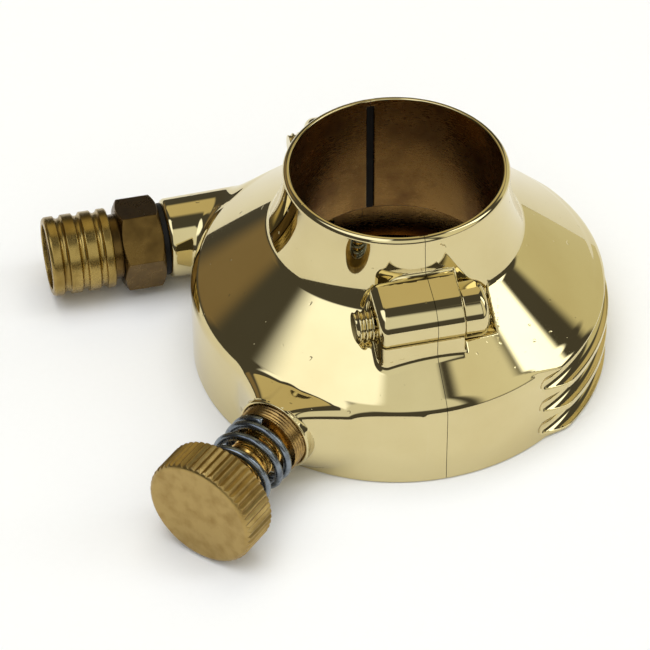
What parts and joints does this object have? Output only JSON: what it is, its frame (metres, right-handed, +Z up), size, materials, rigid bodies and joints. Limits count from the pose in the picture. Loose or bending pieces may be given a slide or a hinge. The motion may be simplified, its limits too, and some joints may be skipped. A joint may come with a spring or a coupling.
{
  "type": "air pressure regulator",
  "caption": "polished gold split-body air pressure regulator for a round tube, with knurled sprung needle screw, gilled side and brass quick coupler",
  "frame": {"origin": "axis of the tube bore, at the flat underside", "axes": "+X to the gilled side along the clamp screws, +Y to the rear seam, +Z up the neck along the tube"},
  "size_m": [0.0991, 0.0905, 0.0421],
  "materials": {
    "gold_plate": "mirror polished",
    "bore_brass": "turned, dull",
    "satin_brass": "satin",
    "spring_steel": "oil blackened",
    "plain_steel": "ground",
    "seal_rubber": "matte"
  },
  "bodies": {
    "housing": {"base_cover_left": "bore_brass", "base_cover_right": "bore_brass", "base_gasket": "seal_rubber", "base_screws": "plain_steel", "body_left": "gold_plate", "body_right": "gold_plate", "coupler_hex": "satin_brass", "front_clamp_screw": "gold_plate", "front_dowel": "plain_steel", "front_seam_seal": "seal_rubber", "gland_bush": "satin_brass", "inlet_washer": "seal_rubber", "lock_spring": "spring_steel", "poppet_spring": "spring_steel", "rear_clamp_screw": "gold_plate", "rear_dowel": "plain_steel", "rear_seam_seal": "seal_rubber", "retaining_ring": "spring_steel", "sleeve_spring": "spring_steel", "socket_barrel": "satin_brass", "socket_seal": "seal_rubber", "tube_seal": "seal_rubber", "valve_seat": "bore_brass"},
    "knob": {"adjusting_spindle": "satin_brass", "knurled_knob": "satin_brass", "knob_set_screw": "plain_steel", "spindle_oring": "seal_rubber"},
    "travel_washer": {"thrust_washer": "plain_steel"},
    "sleeve": {"coupler_sleeve": "satin_brass"},
    "check_poppet": {"poppet": "satin_brass", "poppet_seal": "seal_rubber"},
    "ball_1": {"locking_ball_1": "plain_steel"},
    "ball_2": {"locking_ball_2": "plain_steel"},
    "ball_3": {"locking_ball_3": "plain_steel"},
    "ball_4": {"locking_ball_4": "plain_steel"}
  },
  "joints": [
    {"name": "knob_travel", "type": "slide", "parent": "housing", "child": "travel_washer", "axis": [-0.7254, -0.6884, 0], "range_m": [-0.002, 0.003], "deforming": ["lock_spring"]},
    {"name": "knob_turn", "type": "hinge", "parent": "travel_washer", "child": "knob", "pos_m": [-0.04263, -0.04224, 0.0107], "axis": [-0.7254, -0.6884, 0], "range_deg": [-721, 1081]},
    {"name": "sleeve_slide", "type": "slide", "parent": "housing", "child": "sleeve", "axis": [1, 0, 0], "range_m": [0, 0.0012], "stiffness_N_per_m": 800, "springref_m": -0.004, "deforming": ["sleeve_spring"]},
    {"name": "poppet_slide", "type": "slide", "parent": "housing", "child": "check_poppet", "axis": [1, 0, 0], "range_m": [0, 0.002], "stiffness_N_per_m": 300, "springref_m": -0.004, "deforming": ["poppet_spring"]},
    {"name": "ball_1_slide", "type": "slide", "parent": "housing", "child": "ball_1", "axis": [0, 0.7071, 0.7071], "range_m": [0, 0.00051]},
    {"name": "ball_2_slide", "type": "slide", "parent": "housing", "child": "ball_2", "axis": [0, 0.7071, -0.7071], "range_m": [0, 0.00051]},
    {"name": "ball_3_slide", "type": "slide", "parent": "housing", "child": "ball_3", "axis": [0, -0.7071, -0.7071], "range_m": [0, 0.00051]},
    {"name": "ball_4_slide", "type": "slide", "parent": "housing", "child": "ball_4", "axis": [0, -0.7071, 0.7071], "range_m": [0, 0.00051]}
  ],
  "couplings": [
    {"joint": "knob_turn", "follows": "knob_travel", "rad_per_m": 6283.2},
    {"joint": "ball_1_slide", "follows": "sleeve_slide", "ratio": 0.41667},
    {"joint": "ball_2_slide", "follows": "sleeve_slide", "ratio": 0.41667},
    {"joint": "ball_3_slide", "follows": "sleeve_slide", "ratio": 0.41667},
    {"joint": "ball_4_slide", "follows": "sleeve_slide", "ratio": 0.41667}
  ]
}
